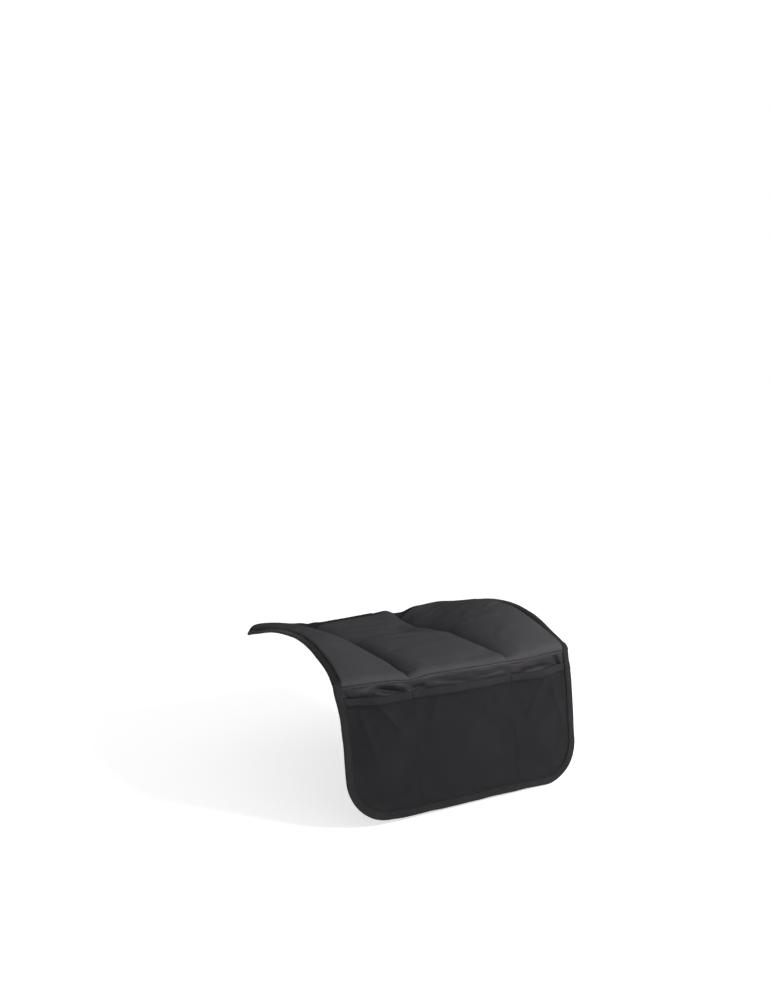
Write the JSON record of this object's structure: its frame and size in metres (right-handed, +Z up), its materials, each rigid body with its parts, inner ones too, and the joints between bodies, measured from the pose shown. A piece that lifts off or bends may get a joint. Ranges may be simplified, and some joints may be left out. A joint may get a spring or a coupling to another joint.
{
  "type": "car seat protector mat",
  "caption": "Padded protector mat draped over a seat cushion, with sewn padding channels, bound edges and a hanging front flap that carries mesh pockets.",
  "frame": {"origin": "centre of the flat patch on the underside of the middle panel, where the mat lies flat on the seat cushion, 0.120 m behind the front seam", "axes": "+X to the right of someone who stands in front of the seat and looks at it, +Y towards the rear of the seat, +Z up"},
  "size_m": [0.4741, 0.477, 0.2843],
  "materials": {
    "charcoal_polyester": "tight woven charcoal polyester with a faint violet tint and a soft sheen",
    "grey_foam": "open-cell polyurethane foam sheet",
    "black_anti_slip": "black cloth with small raised rubber dots",
    "dark_flap_fabric": "thin dark woven lining with a slight shine",
    "black_mesh": "fine sheer warp-knitted mesh",
    "black_binding": "ribbed black woven tape"
  },
  "bodies": {
    "root": {"top_cover": "charcoal_polyester", "foam_left": "grey_foam", "foam_middle": "grey_foam", "foam_right": "grey_foam", "anti_slip_backing": "black_anti_slip", "flap_panel": "dark_flap_fabric", "pocket_mesh": "black_mesh", "pocket_top_binding": "black_binding", "edge_binding": "black_binding"}
  },
  "joints": []
}
